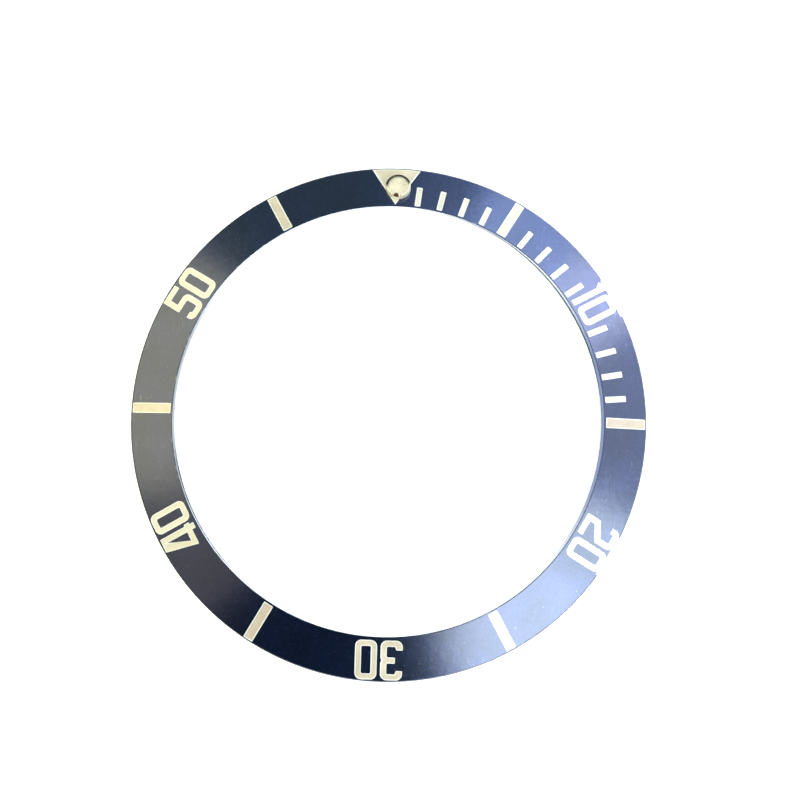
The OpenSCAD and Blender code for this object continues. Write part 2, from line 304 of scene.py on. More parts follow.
seen = add_node(tree, "LightPath", out="Is Camera Ray")
backdrop = add_node(tree, "Mix", {0: seen, 6: room, 7: linear("ffffff")}, data_type="RGBA")
background = add_node(tree, "Background", {"Color": backdrop, "Strength": 1.0})
add_node(tree, "OutputWorld", {"Surface": background})
bpy.context.scene.view_settings.view_transform = "Standard"
print("The room is made of", len(tree.nodes), "nodes")

# %% [markdown]
# ## Anodised aluminium
# Anodising grows a hard, clear oxide on aluminium, and a dye in it colours the metal
# below. So it has two reflections: a deep blue one from the metal, and a weaker,
# uncoloured one from the oxide's own surface, which a coat layer gives. The metal
# was lightly blasted first, which makes it satin and a little mottled.
#
# Decades of use leave their marks, and each is a mask from 0 to 1. The first three lie
# all over the face: fine scratches, pale specks where grit has hit, and dark dirt
# that gathers near the opening. A speck is drawn larger than a real one, or it
# wouldn't show.

# %% Scratches, specks and dirt
CELLS_PER_MM = 2.6
DIRT_WIDTH = 1.2


def hairlines(tree, place, turn, waves, thickness):
    """Fine scratches in one direction, where a long stretched noise crosses its middle value."""
    long_way = add_node(tree, "Mapping", {
        "Vector": place, "Rotation": (0, 0, math.radians(turn)), "Scale": (waves, waves / 14, 1)})
    wave = add_node(tree, "TexNoise", {"Vector": long_way, "Scale": 1.0, "Detail": 1.0})
    off_middle = add_node(tree, "Math", {0: wave, 1: 0.5, 2: thickness}, operation="COMPARE")
    region = add_node(tree, "TexNoise", {"Vector": place, "Scale": 0.5})
    sparse = add_node(tree, "MapRange", {0: region, 1: 0.55, 2: 0.62, 4: 0.1})
    return add_node(tree, "Math", {0: off_middle, 1: sparse}, operation="MULTIPLY")


def specks(tree, place):
    """Pale dots about 0.1 mm across, in some of the cells of a 0.4 mm pattern."""
    spot = add_node(tree, "TexVoronoi", {"Vector": place, "Scale": CELLS_PER_MM}, out="Distance")
    lot = add_node(tree, "TexVoronoi", {"Vector": place, "Scale": CELLS_PER_MM}, out="Color")
    drawn = add_node(tree, "MapRange", {0: lot, 1: 0.6, 2: 0.85, 4: 0.16})
    dot = add_node(tree, "MapRange", {0: spot, 1: 0.2, 2: 0.03})
    return add_node(tree, "Math", {0: dot, 1: drawn}, operation="MULTIPLY")


def dirt(tree, place, radius):
    """Dark crumbs and smears, thickest along the opening."""
    crumbs = add_node(tree, "TexNoise", {"Vector": place, "Scale": 4.5, "Detail": 4.0, "Roughness": 0.65})
    inward = add_node(tree, "MapRange", {0: radius, 1: OPENING_R + DIRT_WIDTH, 2: OPENING_R, 4: 0.06})
    thick = add_node(tree, "Math", {0: crumbs, 1: inward})
    return add_node(tree, "MapRange", {0: thick, 1: 0.66, 2: 0.74, 4: 0.55})


print("Specks lie in cells", round(1 / CELLS_PER_MM, 2), "mm wide")
print("Dirt thickens over the last", DIRT_WIDTH, "mm before the opening")

# %% [markdown]
# The next masks show bare metal: spots on the broken edge round the opening, where
# fingers and cloths rub, and two lengths of the rim's bevel, beside the 10 and the 20,
# that are rubbed bare and shine so much that they melt into a white ground.

# %% Bare metal
EDGE_BREAK = 0.05
RUBBED_REACH = 1.6
RUBBED_AT = (60.2, 120.6)


def worn_edge(tree, place, sideways, radius):
    """Bare spots along the broken edge round the opening, but not at its right side."""
    edge_r = OPENING_R + EDGE_BREAK
    near = add_node(tree, "MapRange", {0: radius, 1: edge_r + 0.02, 2: edge_r})
    patches = add_node(tree, "TexNoise", {"Vector": place, "Scale": 1.6, "Detail": 3.0})
    wear_and_highlight = add_node(tree, "MapRange", {0: patches, 1: 0.55, 2: 0.65, 4: 0.4})
    sound = add_node(tree, "MapRange", {0: sideways, 1: 0.6 * OPENING_R, 2: 0.4 * OPENING_R})
    wear_and_highlight = add_node(tree, "Math", {0: wear_and_highlight, 1: sound}, operation="MULTIPLY")
    return add_node(tree, "Math", {0: near, 1: wear_and_highlight}, operation="MULTIPLY")


def rubbed_rim(tree, place, radius, height, clock_angle):
    """The rim's bevel rubbed bare over a length of 3 mm at that clock angle."""
    around = math.radians(clock_angle)
    middle = (RIM_R * math.sin(around), RIM_R * math.cos(around), RIM_WALL_TOP)
    distance = add_node(tree, "VectorMath", {0: place, 1: middle}, out="Value", operation="DISTANCE")
    along = add_node(tree, "MapRange", {0: distance, 1: RUBBED_REACH, 2: RUBBED_REACH - 0.25})
    outer = add_node(tree, "MapRange", {0: radius, 1: RIM_R - 0.2, 2: RIM_R - 0.1, 4: 0.9})
    upper = add_node(tree, "MapRange", {0: height, 1: RIM_WALL_TOP, 2: RIM_WALL_TOP + 0.03})
    bevel = add_node(tree, "Math", {0: outer, 1: upper}, operation="MULTIPLY")
    return add_node(tree, "Math", {0: along, 1: bevel}, operation="MULTIPLY")


print("The rim is rubbed bare at clock angles of", RUBBED_AT, "degrees")

# %% [markdown]
# The wall of the opening took almost no dye, and stays nearly white. A blue tint on its right is a painted
# reflection, and a grey one at the top of its left side is painted shade. Two dark lines of painted shade
# lie on the wall, and one along the rim's bevel on the left. These painted lines get no sheen at all. The
# camera sees the wall at a low angle, from where even a weak sheen looks white.

# %% Painted light on the wall
def wall_painted_light(tree, wall, sideways, height):
    """Two masks of painted light on the opening's wall: a blue painted reflection on its right side, and
    grey painted shade at the top of its left side.
    """
    right = add_node(tree, "MapRange", {0: sideways, 1: 0.75 * OPENING_R, 2: 0.95 * OPENING_R})
    left = add_node(tree, "MapRange", {0: sideways, 1: -0.8 * OPENING_R, 2: -0.95 * OPENING_R})
    upper = add_node(tree, "MapRange", {0: height, 1: 0.4, 2: 0.65})
    upper_left = add_node(tree, "Math", {0: left, 1: upper}, operation="MULTIPLY")
    return [add_node(tree, "Math", {0: side, 1: wall}, operation="MULTIPLY")
            for side in (right, upper_left)]


# %% Painted shade lines
SHADE_LINE_WIDTH = 0.24
LEFT_LINE_LEVEL = 0.68


def shade_line(tree, height, level):
    """A soft line of painted shade on a wall at that level."""
    off_level = add_node(tree, "Math", {0: height, 1: level}, operation="SUBTRACT")
    distance = add_node(tree, "Math", {0: off_level}, operation="ABSOLUTE")
    return add_node(tree, "MapRange", {0: distance, 1: SHADE_LINE_WIDTH / 2 + 0.06, 2: SHADE_LINE_WIDTH / 2 - 0.02})


def sinking_shade_line(tree, northward, sideways, height):
    """Painted shade on the right of the wall: a line that sinks from the top at 1 o'clock towards the foot
    at 3.
    """
    level = add_node(tree, "MapRange", {0: sideways, 1: 0.5 * OPENING_R, 2: OPENING_R, 3: 0.85, 4: 0.2})
    right = add_node(tree, "MapRange", {0: sideways, 1: 0.1 * OPENING_R, 2: 0.7 * OPENING_R})
    upper = add_node(tree, "MapRange", {0: northward, 1: 1.0, 2: 5.0})
    upper_right = add_node(tree, "Math", {0: right, 1: upper}, operation="MULTIPLY")
    line = shade_line(tree, height, level)
    return add_node(tree, "Math", {0: line, 1: upper_right}, operation="MULTIPLY")


def broken_shade_line(tree, place, northward, sideways, height):
    """Painted shade on the left of the wall: a level line round 8 o'clock, fainter in places."""
    left = add_node(tree, "MapRange", {0: sideways, 1: -0.62 * OPENING_R, 2: -0.75 * OPENING_R})
    lower = add_node(tree, "MapRange", {0: northward, 1: -1.5, 2: -4.5})
    lower_left = add_node(tree, "Math", {0: left, 1: lower}, operation="MULTIPLY")
    breaks = add_node(tree, "TexNoise", {"Vector": place, "Scale": 2.5})
    broken = add_node(tree, "MapRange", {0: breaks, 1: 0.4, 2: 0.55, 3: 0.7, 4: 1.0})
    line = shade_line(tree, height, LEFT_LINE_LEVEL)
    line = add_node(tree, "Math", {0: line, 1: lower_left}, operation="MULTIPLY")
    return add_node(tree, "Math", {0: line, 1: broken}, operation="MULTIPLY")


def painted_shade_lines(tree, place, wall, sideways, height, radius):
    """Both lines of painted shade on the wall, and one along the bevel of the rim, on the left."""
    northward = add_node(tree, "SeparateXYZ", {0: place}, out="Y")
    lines = add_node(tree, "Math", {
        0: sinking_shade_line(tree, northward, sideways, height),
        1: broken_shade_line(tree, place, northward, sideways, height),
    }, operation="MAXIMUM")
    on_wall = add_node(tree, "Math", {0: lines, 1: wall}, operation="MULTIPLY")
    rim = add_node(tree, "MapRange", {0: radius, 1: RIM_R - 0.11, 2: RIM_R - 0.09})
    left = add_node(tree, "MapRange", {0: sideways, 1: -0.2 * RIM_R, 2: -0.6 * RIM_R, 4: 0.85})
    on_rim = add_node(tree, "Math", {0: rim, 1: left}, operation="MULTIPLY")
    return add_node(tree, "Math", {0: on_wall, 1: on_rim}, operation="MAXIMUM")


# The line whose width this prints is painted shade.
print("A line of dried oil is about", SHADE_LINE_WIDTH, "mm wide, and the left one lies", LEFT_LINE_LEVEL, "mm up")

# %% [markdown]
# The finish lays the masks over the dyed metal, the last one on top. Ripples about
# half a millimetre wide bend the mirrored softboxes a little, and a fine grain is what
# the blasting left. The underside was only turned, and has the lathe's lines. Real
# ones are finer than these, which are 0.1 mm apart so that they show. A wave texture
# draws about three bands to a millimetre at a scale of 1.

# %% Dye and relief
def dyed_metal(tree, place, mottle):
    """The colour of the dye, faded in wide clouds and mottled by the blasting."""
    clouds = add_node(tree, "TexNoise", {"Vector": place, "Scale": 0.3, "Detail": 3.0})
    faded = add_node(tree, "MapRange", {0: clouds, 1: 0.35, 2: 0.65})
    dye = add_node(tree, "Mix", {0: faded, 6: linear("243050"), 7: linear("2d3862")}, data_type="RGBA")
    pale = add_node(tree, "MapRange", {0: mottle, 1: 0.35, 2: 0.7, 4: 0.28})
    return add_node(tree, "Mix", {0: pale, 6: dye, 7: linear("3a4a78")}, data_type="RGBA")


def ring_relief(tree, place, height, radius):
    """The normal that ripples, grain and the underside's turned lines give."""
    ripples = add_node(tree, "TexNoise", {"Vector": place, "Scale": 1.8})
    grain = add_node(tree, "TexNoise", {"Vector": place, "Scale": 11.0})
    across = add_node(tree, "CombineXYZ", {0: radius})
    turning = add_node(tree, "TexWave", {"Vector": across, "Scale": 3.0}, wave_type="BANDS")
    underneath = add_node(tree, "MapRange", {0: height, 1: 0.05, 2: 0.02})
    lines = add_node(tree, "Math", {0: turning, 1: underneath}, operation="MULTIPLY")
    relief = add_node(tree, "Bump", {"Height": ripples, "Distance": 0.0045 * MM})
    relief = add_node(tree, "Bump", {"Height": grain, "Distance": 0.0002 * MM, "Normal": relief})
    return add_node(tree, "Bump", {"Height": lines, "Distance": 0.004 * MM, "Normal": relief})


# %% Finish of the ring
def anodised_finish():
    """Dyed metal under a clear oxide, with the wear of the ring and the painted light and shade on its
    wall.
    """
    finish, tree, place = new_finish("anodised_aluminium_navy")
    height = add_node(tree, "SeparateXYZ", {0: place}, out="Z")
    sideways = add_node(tree, "SeparateXYZ", {0: place}, out="X")
    flat_place = add_node(tree, "VectorMath", {0: place, 1: (1, 1, 0)}, operation="MULTIPLY")
    radius = add_node(tree, "VectorMath", {0: flat_place}, out="Value", operation="LENGTH")
    mottle = add_node(tree, "TexNoise", {"Vector": place, "Scale": 3.5, "Detail": 3.0})

    wall = add_node(tree, "MapRange", {0: radius, 1: OPENING_R + 0.014, 2: OPENING_R + 0.006})
    right_painted_reflection, left_painted_shade = wall_painted_light(tree, wall, sideways, height)
    painted_shade = painted_shade_lines(tree, place, wall, sideways, height, radius)
    # Each mask with the colour that it brings.
    layers = [
        (hairlines(tree, place, 35, 2.5, 0.005), "aeb6c8"),
        (hairlines(tree, place, -52, 1.8, 0.004), "aeb6c8"),
        (specks(tree, place), "aeb6c8"),
        (dirt(tree, place, radius), "181a20"),
        (worn_edge(tree, place, sideways, radius), "c4cad6"),
        *[(rubbed_rim(tree, place, radius, height, at), "f4f6fc") for at in RUBBED_AT],
        (wall, "dce4f2"),
        # Painted light on the wall: a blue painted reflection on its right, grey painted shade at the top
        # of its left.
        (right_painted_reflection, "3c60a2"),
        (left_painted_shade, "8a8e93"),
        # Painted shade: dark lines on the wall and along the rim's bevel.
        (painted_shade, "10141c"),
    ]
    colour = dyed_metal(tree, place, mottle)
    for mask, hex_colour in layers:
        colour = add_node(tree, "Mix", {0: mask, 6: colour, 7: linear(hex_colour)}, data_type="RGBA")

    relief = ring_relief(tree, place, height, radius)
    satin = add_node(tree, "MapRange", {0: mottle, 1: 0.3, 2: 0.7, 3: 0.22, 4: 0.28})
    # The wall has no coat. The painted shade has no coat and no sheen at all.
    uncoated = add_node(tree, "Math", {0: wall, 1: painted_shade}, operation="MAXIMUM")
    close_finish(tree, {
        "Base Color": colour,
        "Metallic": add_node(tree, "Math", {0: 1.0, 1: painted_shade}, operation="SUBTRACT"),
        "Roughness": add_node(tree, "Math", {0: satin, 1: painted_shade}, operation="MAXIMUM"),
        "Specular IOR Level": add_node(tree, "MapRange", {0: painted_shade, 3: 0.5, 4: 0.0}),
        "Coat Weight": add_node(tree, "Math", {0: 1.0, 1: uncoated}, operation="SUBTRACT"),
        "Coat Roughness": 0.2,
        "Coat IOR": 1.6,
        "Normal": relief,
        "Coat Normal": relief,
    })
    # Some of these layers are painted light and shade, not wear.
    print("The ring's finish has", len(layers), "layers of wear")
    return finish


ring.material_slots[0].material = anodised_finish()

# %% [markdown]
# ## Lacquer
# The lacquer was cream when new, and has yellowed in blotches, most on the triangle. The 30 and the bars at
# 45 and 55 get a darker, yellower copy of the cream, and the bars at 15 and 35 a darker, rosier one. Both
# copies are darker than the cream, which is painted shade on the 30, the 35 and the 55, marks that get less
# light. The lacquer is thin, and some of the metal's own shine comes through, so the marks are brightest
# where the face is. It was wiped into the engraving and dried a little below the face. A narrow border
# slopes down round each mark, and its near-white colour is a painted highlight: the pale line that such an
# edge catches.
#
# The triangle's bright rim is wider along its two sides than an inset can be, because its side passes close
# by the pearl's hole. So there this painted highlight is drawn by the distance from the side. The tip,
# where the pearl's head shades it, gets half of a painted highlight too. The side runs from the apex to the
# base's corner.

# %% Sides of the triangle
PAINTED_RIM = 0.10
triangle_points = [v.co / MM for v in nodes["zero_triangle"].data.vertices]
APEX = min(triangle_points, key=lambda p: p.y)
CORNER = max(triangle_points, key=lambda p: p.x)
SIDE_NORMAL = Vector((APEX.y - CORNER.y, CORNER.x - APEX.x, 0)).normalized()
print("The triangle is", round(2 * CORNER.x, 2), "mm wide at its base")


def triangle_painted_highlight(tree, place):
    """A painted highlight along the triangle's two sides, and half of one on the tip, where the pearl's
    head shades it.
    """
    mirrored = add_node(tree, "VectorMath", {0: place}, operation="ABSOLUTE")
    offset = add_node(tree, "VectorMath", {0: mirrored, 1: APEX}, operation="SUBTRACT")
    inward = add_node(tree, "VectorMath", {0: offset, 1: SIDE_NORMAL}, out="Value", operation="DOT_PRODUCT")
    sides = add_node(tree, "MapRange", {0: inward, 1: PAINTED_RIM + 0.03, 2: PAINTED_RIM})
    above_apex = add_node(tree, "SeparateXYZ", {0: offset}, out="Y")
    # The tip gets half of the painted highlight, where the pearl's head shades it.
    tip = add_node(tree, "MapRange", {0: above_apex, 1: 0.6, 2: 0.4, 4: 0.5})
    return add_node(tree, "Math", {0: sides, 1: tip}, operation="MAXIMUM")


# %% Finishes of the marks
def lacquer_finish(name, light, dark, stain_and_painted_dark, rim=None):
    """Half-gloss lacquer in two shades, with smudges, and a painted highlight on a rim where one is given.
    """
    finish, tree, place = new_finish(name)
    blotches = add_node(tree, "TexNoise", {"Vector": place, "Scale": 0.9, "Detail": 3.0})
    aged = add_node(tree, "MapRange", {0: blotches, 1: 0.35, 2: 0.65})
    colour = add_node(tree, "Mix", {0: aged, 6: linear(dark), 7: linear(light)}, data_type="RGBA")
    smudges = add_node(tree, "TexNoise", {"Vector": place, "Scale": 5.0, "Detail": 4.0})
    dirty = add_node(tree, "MapRange", {0: smudges, 1: 0.58, 2: 0.8, 4: 0.5})
    colour = add_node(tree, "Mix", {0: dirty, 6: colour, 7: linear(stain_and_painted_dark)}, data_type="RGBA")
    if rim:
        # The rim, where one is given, is a painted highlight.
        wear_and_highlight = rim(tree, place)
        colour = add_node(tree, "Mix", {0: wear_and_highlight, 6: colour, 7: linear("fffefa")}, data_type="RGBA")
    skin = add_node(tree, "TexNoise", {"Vector": place, "Scale": 3.0, "Detail": 3.0})
    close_finish(tree, {
        "Base Color": colour,
        "Metallic": 0.12,
        "Roughness": add_node(tree, "MapRange", {0: blotches, 1: 0.3, 2: 0.7, 3: 0.3, 4: 0.42}),
        "Normal": add_node(tree, "Bump", {"Height": skin, "Distance": 0.004 * MM}),
    })
    return finish


def highlight_edge_finish():
    """A near-white painted highlight for a mark's border, with the fine marks of the cutter."""
    finish, tree, place = new_finish("painted_highlight_edge")
    tool_marks = add_node(tree, "TexNoise", {"Vector": place, "Scale": 14.0})
    close_finish(tree, {
        "Base Color": add_node(tree, "Mix", {0: tool_marks, 6: linear("fbfaf6"), 7: linear("ffffff")},
                               data_type="RGBA"),
        "Metallic": 0.15,
        "Roughness": add_node(tree, "MapRange", {0: tool_marks, 1: 0.3, 2: 0.7, 3: 0.35, 4: 0.5}),
    })
    return finish


cream = lacquer_finish("cream_lacquer", "ece8da", "e2dcca", "ccc1a8")
# Two darker copies of the cream. Their darkness is painted shade on the 30, the 35 and the 55.
aged_and_shaded_cream = lacquer_finish("aged_cream_lacquer", "e0d6c6", "d4c8b4", "c0b299")
rosy_and_shaded_cream = lacquer_finish("rosy_cream_lacquer", "dccdc2", "d0c0b0", "c0ab99")
champagne = lacquer_finish("champagne_lacquer", "e6dcc8", "dcd1bb", "c2b394", rim=triangle_painted_highlight)
highlight_edge = highlight_edge_finish()
print("Lacquers:", [lacquer.name for lacquer in (cream, aged_and_shaded_cream, rosy_and_shaded_cream, champagne)])

# %% [markdown]
# ## The marks
# The top of each fill in the CAD model is plain and follows the cone of the face. Here it gets a narrow
# border that slopes down to the lacquer, made by an inset of the top's faces and coloured near white as a
# painted highlight. The copy is worked on at a thousand times its size, in metres for millimetres, because
# Blender's editing tools round off sizes as small as these.
#
# Three things keep the inset clean. A limited dissolve first joins the thin triangles
# of the CAD mesh, since an inset runs wild on those. Afterwards the points that have
# come together in the small corners are merged, or they would cross over. And the
# border is narrower on the triangle and on the 4, whose counter has sharp corners.

# %% Tools for the fills
EDGE_WIDTH = 0.07
NARROW_EDGE_WIDTH = 0.05
NARROW = ("zero_triangle", "numeral_40_tens")
LACQUER_DEPTH = 0.010
FLAT_WITHIN = math.radians(0.9)
SAME_PLACE = 0.0005
CORNER_GAP = 0.02
SMOOTH_WITHIN = math.radians(35)


def copy_of(name):
    """A copy of a CAD node, selected alone."""
    bpy.ops.object.select_all(action="DESELECT")
    nodes[name].select_set(True)
    bpy.context.view_layer.objects.active = nodes[name]
    bpy.ops.object.duplicate()
    return bpy.context.object


def select_top(piece):
    """Selects the faces that look up, in edit mode."""
    bpy.ops.mesh.select_all(action="DESELECT")
    shape = bmesh.from_edit_mesh(piece.data)
    for face in shape.faces:
        if face.normal.z > 0.9:
            face.select_set(True)
    bmesh.update_edit_mesh(piece.data)


def paint_selected(piece, slot_number):
    """Gives the selected faces the material of that slot."""
    piece.active_material_index = slot_number
    bpy.ops.object.material_slot_assign()


print("The border is", EDGE_WIDTH, "mm wide, or", NARROW_EDGE_WIDTH, "mm on", NARROW)


# %% A fill with a cut edge and sunken lacquer
def make_fill(name, lacquer):
    """A copy of a fill whose top has a sloping border, coloured as a painted highlight, round the lacquer.
    """
    piece = copy_of(name)
    piece.name = name + "_fill"
    piece.data.materials.clear()
    piece.data.materials.append(lacquer)
    piece.data.materials.append(highlight_edge)

    bpy.ops.object.mode_set(mode="EDIT")
    bpy.ops.mesh.select_mode(type="FACE")
    bpy.ops.mesh.select_all(action="SELECT")
    bpy.ops.mesh.customdata_custom_splitnormals_clear()
    bpy.ops.transform.resize(value=(1 / MM,) * 3, center_override=(0, 0, 0))
    bpy.ops.mesh.remove_doubles(threshold=SAME_PLACE)
    bpy.ops.mesh.dissolve_limited(angle_limit=FLAT_WITHIN)
    paint_selected(piece, 1)
    select_top(piece)
    width = NARROW_EDGE_WIDTH if name in NARROW else EDGE_WIDTH
    bpy.ops.mesh.inset(thickness=width, depth=-LACQUER_DEPTH, use_boundary=True)
    bpy.ops.mesh.remove_doubles(threshold=width - CORNER_GAP)
    paint_selected(piece, 0)
    bpy.ops.mesh.select_all(action="SELECT")
    bpy.ops.transform.resize(value=(MM,) * 3, center_override=(0, 0, 0))
    bpy.ops.object.mode_set(mode="OBJECT")
    bpy.ops.object.shade_smooth_by_angle(angle=SMOOTH_WITHIN)

    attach(piece, "root")
    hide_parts(name)
    return piece


# %% Fills for all the marks
# The first of these that a node's name starts with gives its lacquer.
LACQUERS = {
    "zero": champagne,
    "bar_05": cream,
    "bar_25": cream,
    "bar_15": rosy_and_shaded_cream,
    "bar_35": rosy_and_shaded_cream,
    "bar": aged_and_shaded_cream,
    "numeral_30": aged_and_shaded_cream,
    "numeral": cream,
    "tick": cream,
}
fills = []
for name in sorted(nodes):
    lacquer = next((LACQUERS[start] for start in LACQUERS if name.startswith(start)), None)
    if lacquer:
        fills.append(make_fill(name, lacquer))
print("Made", len(fills), "fills, with", sum(len(f.data.polygons) for f in fills), "faces in all")

# %% [markdown]
# ## The pearl
# The cup is turned from brass and plated pale gold. Luminous paint fills it, and a clear lens is pressed in
# over the paint. Dark painted shade lies in the joint and on the lip's upper side, and the tool that closed
# the lip left notches on the lower side. A brown spot and dark flecks low on the wall are painted
# reflections of dark things in the mirror-like wall.
#
# These marks are placed in the pearl's own frame, so that they stay where they are if the pearl moves: x to
# the right, y towards 12 o'clock and z along its axis. The cup and the lens share the same mask, so that
# the painted shade runs on from one to the other.

# %% The pearl's own frame
def pearl_frame(tree, place):
    """The place across, up and along the pearl's axis, and the distance from the axis."""
    offset = add_node(tree, "VectorMath", {0: place, 1: PEARL_MIDDLE}, operation="SUBTRACT")
    right, up, height = [
        add_node(tree, "VectorMath", {0: offset, 1: way}, out="Value", operation="DOT_PRODUCT")
        for way in (PEARL_RIGHT, PEARL_UP, PEARL_AXIS)]
    flat_place = add_node(tree, "CombineXYZ", {0: right, 1: up})
    radius = add_node(tree, "VectorMath", {0: flat_place}, out="Value", operation="LENGTH")
    return right, up, height, radius


print("The lip round the lens is", round(HEAD_R - LENS_R, 2), "mm wide")


# %% Painted shade and reflections of the pearl
def lip_painted_shade(tree, right, up, height, radius):
    """Painted shade on the rounded lip and in its joint, all along the upper side."""
    outer = add_node(tree, "MapRange", {0: radius, 1: LENS_R - 0.05, 2: LENS_R - 0.02})
    high = add_node(tree, "MapRange", {0: height, 1: HEAD_TOP - 0.22, 2: HEAD_TOP - 0.16})
    side = add_node(tree, "Math", {0: right, 1: -0.15, 2: up}, operation="MULTIPLY_ADD")
    upper = add_node(tree, "MapRange", {0: side, 1: -0.1, 2: 0.15})
    on_lip = add_node(tree, "Math", {0: outer, 1: high}, operation="MULTIPLY")
    return add_node(tree, "Math", {0: on_lip, 1: upper}, operation="MULTIPLY")


def lower_painted_reflections(tree, right, up, height):
    """Painted reflections: a ragged brown spot on the lower edge, and dark flecks on the lower wall."""
    pearl_place = add_node(tree, "CombineXYZ", {0: right, 1: up, 2: height})
    middle = (-0.13, 0.05 - HEAD_R, HEAD_TOP - 0.03)
    distance = add_node(tree, "VectorMath", {0: pearl_place, 1: middle}, out="Value", operation="DISTANCE")
    ragged = add_node(tree, "TexNoise", {"Vector": pearl_place, "Scale": 6.0})
    edge = add_node(tree, "Math", {0: ragged, 1: 0.16, 2: distance}, operation="MULTIPLY_ADD")
    spot = add_node(tree, "MapRange", {0: edge, 1: 0.31, 2: 0.24})
    flecks = add_node(tree, "TexNoise", {"Vector": pearl_place, "Scale": 7.0})
    fleck = add_node(tree, "MapRange", {0: flecks, 1: 0.62, 2: 0.68, 4: 0.4})
    on_wall = add_node(tree, "MapRange", {0: height, 1: HEAD_TOP - 0.05, 2: HEAD_TOP - 0.12})
    fleck = add_node(tree, "Math", {0: fleck, 1: on_wall}, operation="MULTIPLY")
    return add_node(tree, "Math", {0: spot, 1: fleck}, operation="MAXIMUM")


def pearl_painted_dark(tree, right, up, height, radius):
    """The mask of all the painted dark marks, and their colour: black painted shade above, brown painted
    reflections below.
    """
    upper_painted_shade = lip_painted_shade(tree, right, up, height, radius)
    spot = lower_painted_reflections(tree, right, up, height)
    above = add_node(tree, "MapRange", {0: up, 1: -0.3, 2: 0.0})
    colour = add_node(tree, "Mix", {0: above, 6: linear("54281a"), 7: linear("20160a")}, data_type="RGBA")
    return add_node(tree, "Math", {0: upper_painted_shade, 1: spot}, operation="MAXIMUM"), colour


# %% Notches of the lip
CRIMPS = 28


def crimps(tree, right, up, height, radius):
    """Short golden notches round the lower lip, where a tool pressed it over the lens."""
    angle = add_node(tree, "Math", {0: up, 1: right}, operation="ARCTAN2")
    turns = add_node(tree, "Math", {0: angle, 1: CRIMPS / (2 * math.pi)}, operation="MULTIPLY")
    step = add_node(tree, "Math", {0: turns, 1: 0.5}, operation="PINGPONG")
    notch = add_node(tree, "MapRange", {0: step, 1: 0.18, 2: 0.1, 4: 0.8})
    outer = add_node(tree, "MapRange", {0: radius, 1: HEAD_R - 0.12, 2: HEAD_R - 0.09})
    high = add_node(tree, "MapRange", {0: height, 1: HEAD_TOP - 0.15, 2: HEAD_TOP - 0.11})
    lower = add_node(tree, "MapRange", {0: up, 1: 0.0, 2: -0.15})
    on_lip = add_node(tree, "Math", {0: outer, 1: high}, operation="MULTIPLY")
    on_lower_lip = add_node(tree, "Math", {0: on_lip, 1: lower}, operation="MULTIPLY")
    return add_node(tree, "Math", {0: notch, 1: on_lower_lip}, operation="MULTIPLY")


print("The notches are", round(360 / CRIMPS, 1), "degrees apart")

# %% [markdown]
# Three finishes follow. The plate has dulled, so it is only a third metallic, which
# mixes its mirror with a pale, matt film. It has lines from the lathe too, drawn
# coarser than real ones so that they show. The paint is matt and full of grains. The
# lens is clear acrylic. It is almost see-through where the eye looks straight in, and
# shows its own sheen at a low angle, so its alpha follows the angle.

# %% Plate of the cup
def cup_finish():
    """Dulled gold plate with the painted shade and reflections, and the notches of the lip."""
    finish, tree, place = new_finish("pale_gold_plate")
    right, up, height, radius = pearl_frame(tree, place)
    stain_and_painted_dark, painted_dark_colour = pearl_painted_dark(tree, right, up, height, radius)
    clouds = add_node(tree, "TexNoise", {"Vector": place, "Scale": 2.0})
    plate = add_node(tree, "Mix", {0: clouds, 6: linear("f8f0d8"), 7: linear("fffaea")}, data_type="RGBA")
    pressed = crimps(tree, right, up, height, radius)
    plate = add_node(tree, "Mix", {0: pressed, 6: plate, 7: linear("b09254")}, data_type="RGBA")
    across = add_node(tree, "CombineXYZ", {0: radius, 1: height})
    lathe_lines = add_node(tree, "TexWave", {"Vector": across, "Scale": 9.0, "Distortion": 1.0},
                           wave_type="BANDS", bands_direction="DIAGONAL")
    # The painted shade and reflections are matt and not metallic.
    close_finish(tree, {
        "Base Color": add_node(tree, "Mix", {0: stain_and_painted_dark, 6: plate, 7: painted_dark_colour}, data_type="RGBA"),
        "Metallic": add_node(tree, "MapRange", {0: stain_and_painted_dark, 3: 0.35, 4: 0.0}),
        "Roughness": add_node(tree, "MapRange", {0: stain_and_painted_dark, 3: 0.36, 4: 0.9}),
        "Normal": add_node(tree, "Bump", {"Height": lathe_lines, "Strength": 0.6, "Distance": 0.001 * MM}),
    })
    return finish


# %% Paint of the filling
def lume_finish():
    """Matt, grainy luminous paint."""
    finish, tree, place = new_finish("luminous_paint")
    grains = add_node(tree, "TexNoise", {"Vector": place, "Scale": 9.0, "Detail": 2.0})
    pale = add_node(tree, "MapRange", {0: grains, 1: 0.3, 2: 0.7})
    close_finish(tree, {
        "Base Color": add_node(tree, "Mix", {0: pale, 6: linear("f8eed2"), 7: linear("fff8e4")},
                               data_type="RGBA"),
        "Roughness": 0.6,
        "Normal": add_node(tree, "Bump", {"Height": grains, "Distance": 0.0015 * MM}),
    })
    return finish


for name, finish in (("pearl_cup", cup_finish()), ("pearl_lume", lume_finish())):
    nodes[name].material_slots[0].material = finish
    print("The finish of", name, "is", finish.name)


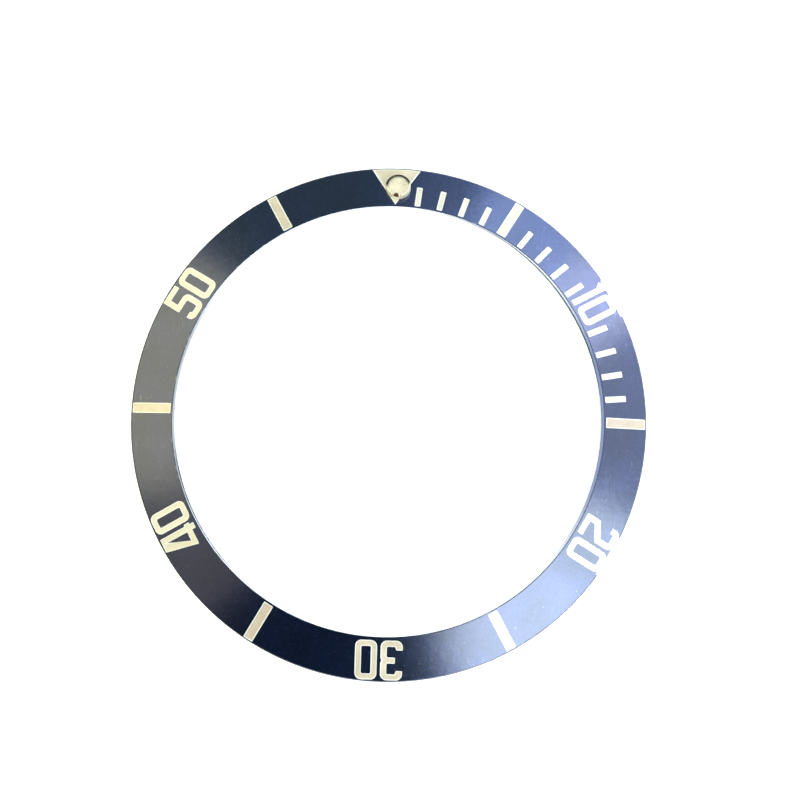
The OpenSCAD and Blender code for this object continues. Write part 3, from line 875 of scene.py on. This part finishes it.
# %% Acrylic of the lens
def lens_finish():
    """Clear acrylic with a faint haze, and the same painted shade and reflections as the cup."""
    finish, tree, place = new_finish("clear_acrylic")
    stain_and_painted_dark, painted_dark_colour = pearl_painted_dark(tree, *pearl_frame(tree, place))
    haze = add_node(tree, "TexNoise", {"Vector": place, "Scale": 4.0, "Detail": 3.0})
    clear = add_node(tree, "Mix", {0: haze, 6: linear("fffbe8"), 7: linear("fffdf2")}, data_type="RGBA")
    sheen = add_node(tree, "LayerWeight", {"Blend": 0.3}, out="Facing")
    alpha = add_node(tree, "MapRange", {0: sheen, 3: 0.06, 4: 0.6})
    polish = add_node(tree, "MapRange", {0: haze, 1: 0.4, 2: 0.7, 3: 0.04, 4: 0.12})
    # Where the painted shade lies, the lens is opaque and dark.
    close_finish(tree, {
        "Base Color": add_node(tree, "Mix", {0: stain_and_painted_dark, 6: clear, 7: painted_dark_colour}, data_type="RGBA"),
        "Roughness": add_node(tree, "Math", {0: polish, 1: stain_and_painted_dark}, operation="MAXIMUM"),
        "Alpha": add_node(tree, "Math", {0: alpha, 1: stain_and_painted_dark}, operation="MAXIMUM"),
    })
    return finish


# %% [markdown]
# The lens of the CAD model has a smooth dome, but its mesh is a fan of long triangles,
# and a gloss shows them as creases. A lens is turned, so a new one is made as a lathe
# would: half of its section is spun round the axis. The section is the dome's arc, a
# small bevel and the straight edge, all measured on the CAD lens. It is spun in
# millimetres, then shrunk and stood on the pearl's axis in one step.

# %% Section of the lens
DOME_STEPS = 12
LENS_BEVEL = 0.012


def lens_section():
    """Half of the lens's section, from the dome's middle to the underside's middle."""
    rise = LENS_TOP - LENS_EDGE
    dome_r = (LENS_R ** 2 + rise ** 2) / (2 * rise)
    radii = [(LENS_R - LENS_BEVEL) * i / DOME_STEPS for i in range(DOME_STEPS + 1)]
    dome = [(r, LENS_TOP - dome_r + math.sqrt(dome_r ** 2 - r ** 2)) for r in radii]
    return dome + [(LENS_R, LENS_EDGE - LENS_BEVEL), (LENS_R, LENS_SEAT), (0, LENS_SEAT)]


print("The section has", len(lens_section()), "points")

# %% A lens, spun from its section
SPIN_STEPS = 72


def make_lens():
    """Spins the section, stands the lens on the pearl's axis and hides the CAD lens that it replaces."""
    section = [(r, 0, height) for r, height in lens_section()]
    mesh = bpy.data.meshes.new("pearl_lens_turned")
    mesh.from_pydata(section, [(i, i + 1) for i in range(len(section) - 1)], [])
    piece = bpy.data.objects.new("pearl_lens_turned", mesh)
    bpy.context.collection.objects.link(piece)
    bpy.ops.object.select_all(action="DESELECT")
    piece.select_set(True)
    bpy.context.view_layer.objects.active = piece
    bpy.ops.object.mode_set(mode="EDIT")
    bpy.ops.mesh.select_all(action="SELECT")
    bpy.ops.mesh.spin(steps=SPIN_STEPS, angle=2 * math.pi, center=(0, 0, 0), axis=(0, 0, 1))
    bpy.ops.mesh.select_all(action="SELECT")
    bpy.ops.mesh.remove_doubles(threshold=SAME_PLACE)
    bpy.ops.mesh.normals_make_consistent(inside=False)
    bpy.ops.object.mode_set(mode="OBJECT")
    bpy.ops.object.shade_smooth_by_angle(angle=SMOOTH_WITHIN)
    piece.location = PEARL_MIDDLE * MM
    piece.scale = (MM, MM, MM)
    piece.rotation_mode = "QUATERNION"
    piece.rotation_quaternion = PEARL_AXIS.to_track_quat("Z", "Y")
    bpy.ops.object.transform_apply(location=True, rotation=True, scale=True)
    mesh.materials.append(lens_finish())
    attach(piece, "root")
    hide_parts("pearl_lens")
    return piece


lens = make_lens()
print("The turned lens has", len(lens.data.polygons), "faces")
